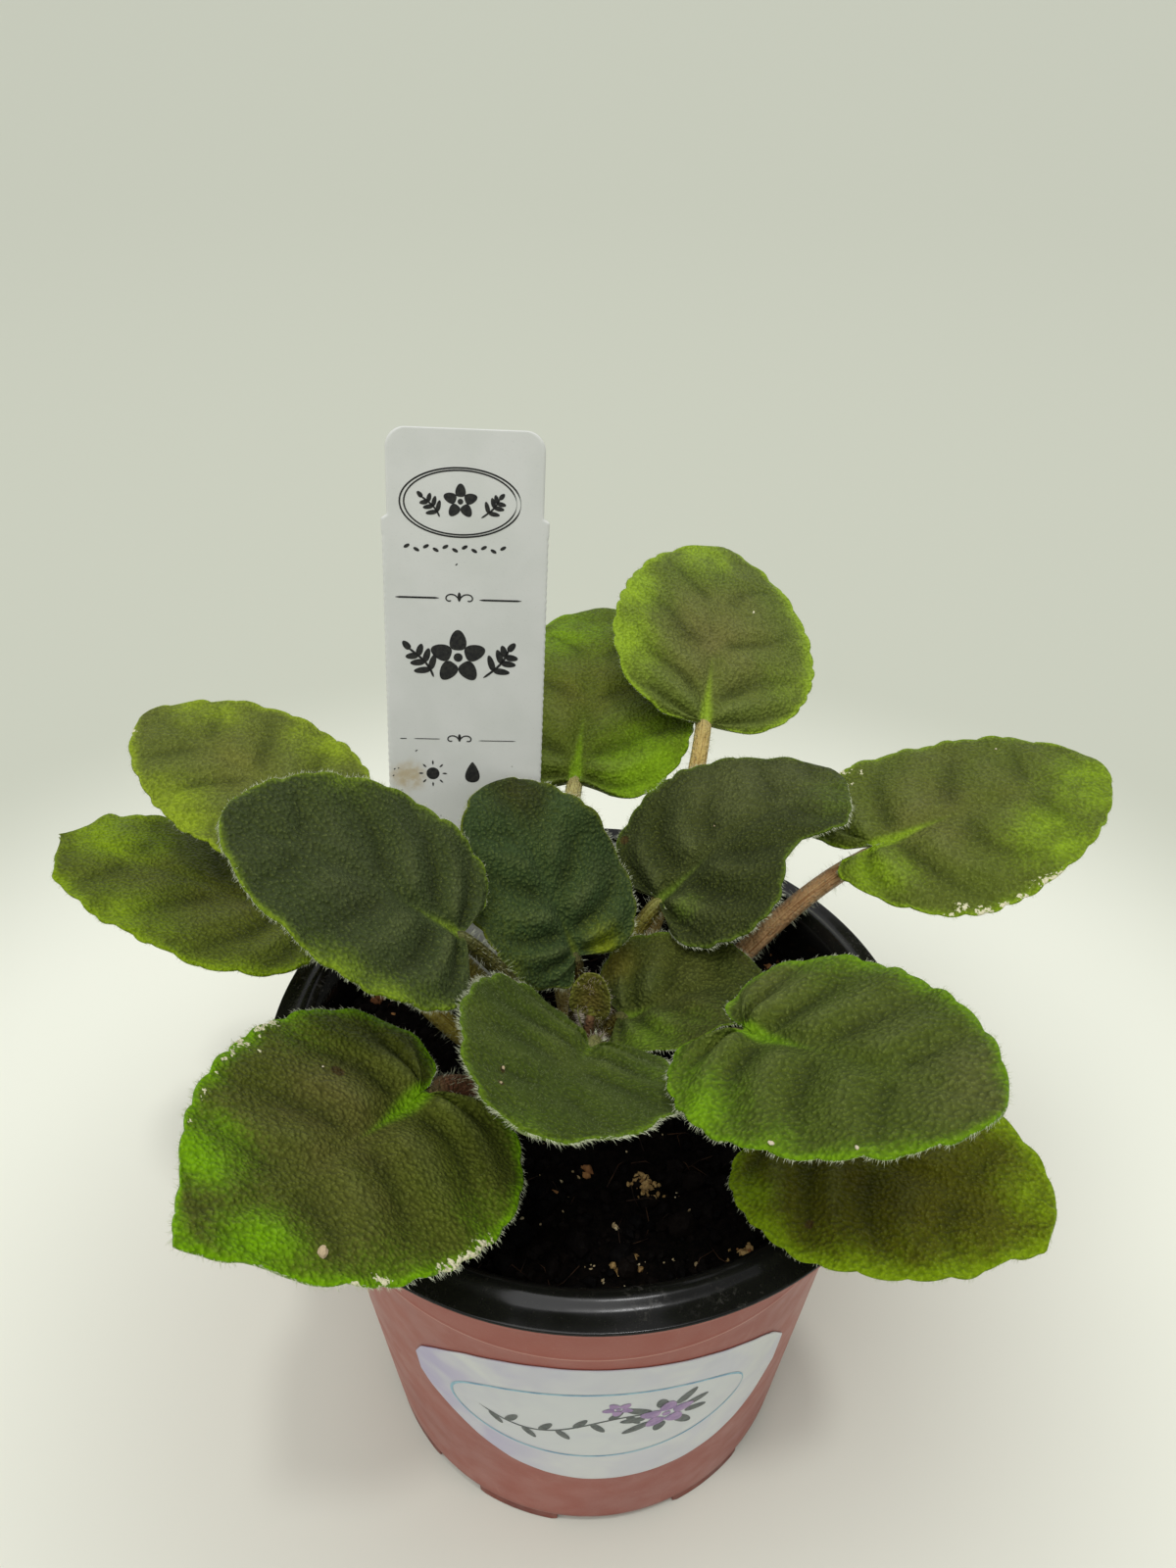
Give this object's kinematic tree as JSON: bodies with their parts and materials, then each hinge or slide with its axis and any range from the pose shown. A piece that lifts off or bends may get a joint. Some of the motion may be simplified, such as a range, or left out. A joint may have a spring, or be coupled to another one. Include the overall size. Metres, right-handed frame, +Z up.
{
  "type": "potted african violet",
  "caption": "Young african violet: a rosette of rounded, notched, downy leaves on arching stalks in a round flanged nursery pot of soil, with a tall blank-headed plant tag.",
  "frame": {"origin": "pot axis at the level the pot's feet stand on; the pad in the middle of the underside is 1.2 mm above it", "axes": "+Z up along the pot's axis; -Y is the front, where the sticker is; +X to the right seen from the front"},
  "size_m": [0.1916, 0.167, 0.1812],
  "materials": {
    "pot": "thin pressed sheet, terracotta outside with light scuffs, glossy black inside and on the rim",
    "sticker": "satin film with a faint silvery sheen",
    "soil": "loose near-black peat mix with bark and pale grains",
    "crown": "matt and densely hairy",
    "leaf": "pebbled, downy, olive to dark green",
    "tag": "smooth white plastic sheet"
  },
  "bodies": {
    "root": {"pot": "pot", "sticker": "sticker", "soil": "soil", "crown": "crown", "leaf_01": "leaf", "leaf_02": "leaf", "leaf_03": "leaf", "leaf_04": "leaf", "leaf_05": "leaf", "leaf_06": "leaf", "leaf_07": "leaf", "leaf_08": "leaf", "leaf_09": "leaf", "leaf_10": "leaf", "leaf_11": "leaf", "leaf_12": "leaf", "leaf_13": "leaf", "tag": "tag"}
  },
  "joints": []
}
